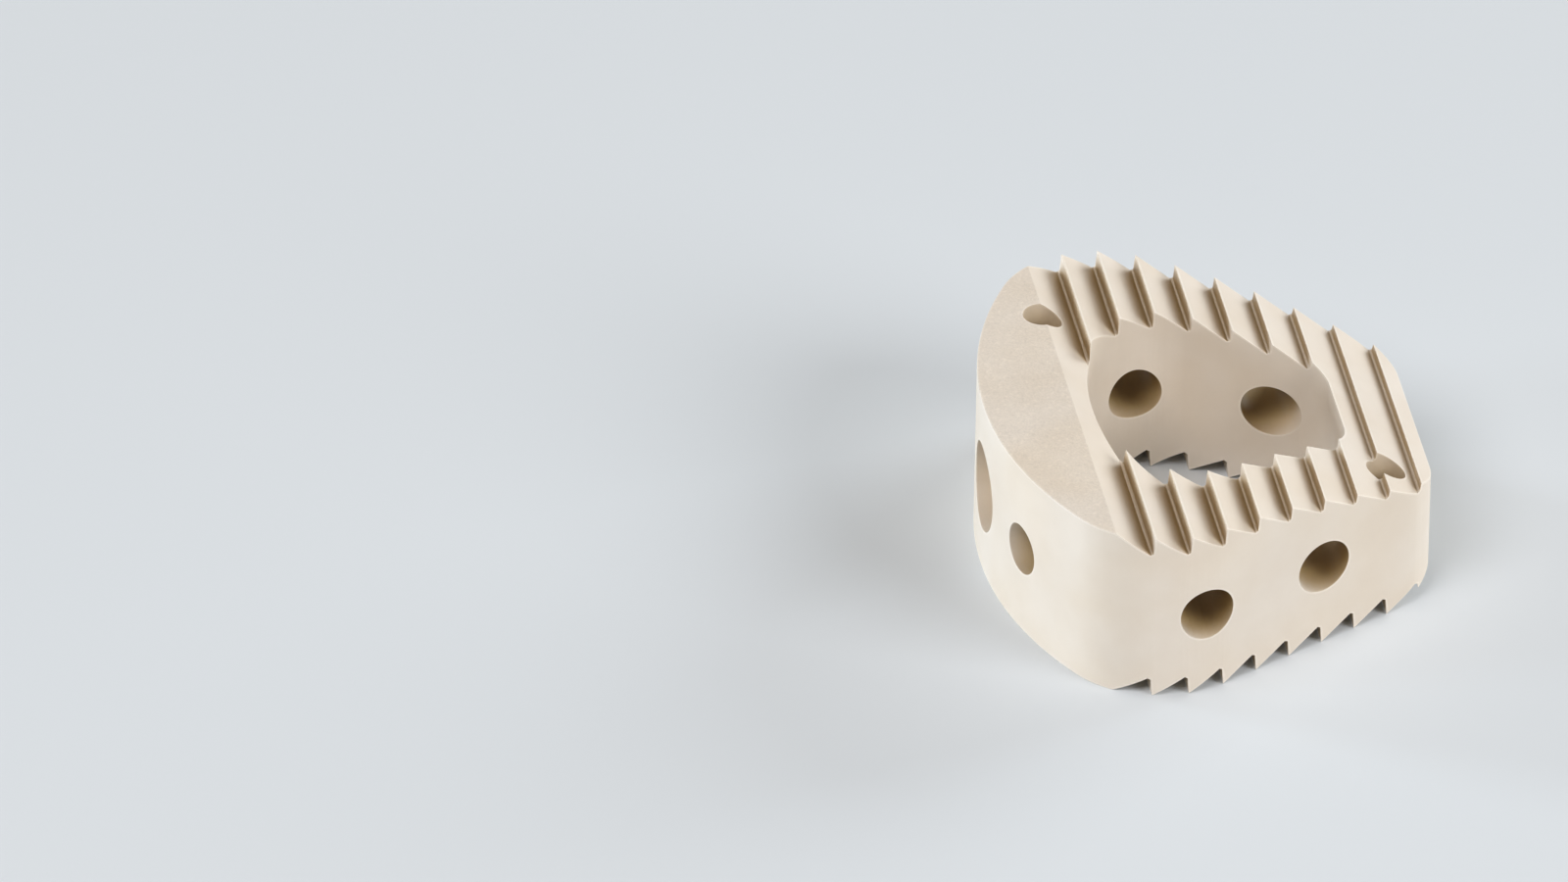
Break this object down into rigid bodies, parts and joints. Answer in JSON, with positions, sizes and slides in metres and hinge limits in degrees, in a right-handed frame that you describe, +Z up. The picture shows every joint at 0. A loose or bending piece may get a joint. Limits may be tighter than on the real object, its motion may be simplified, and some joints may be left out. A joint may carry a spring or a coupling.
{
  "type": "spinal interbody cage",
  "caption": "Tapered spinal interbody cage: one polymer body with a central graft window, saw-toothed bearing faces, drilled side walls, and a driver hole and pin holes in the front wall.",
  "frame": {"origin": "middle of the footprint, on the plane of the lower tooth tips and lower land", "axes": "+X across the patient, +Y towards the back of the spine, +Z up"},
  "size_m": [0.0146, 0.012, 0.005],
  "materials": {
    "implant_polymer": "satin ivory implant polymer, machined, with a finely blasted front land"
  },
  "bodies": {
    "root": {"cage_body": "implant_polymer"}
  },
  "joints": []
}
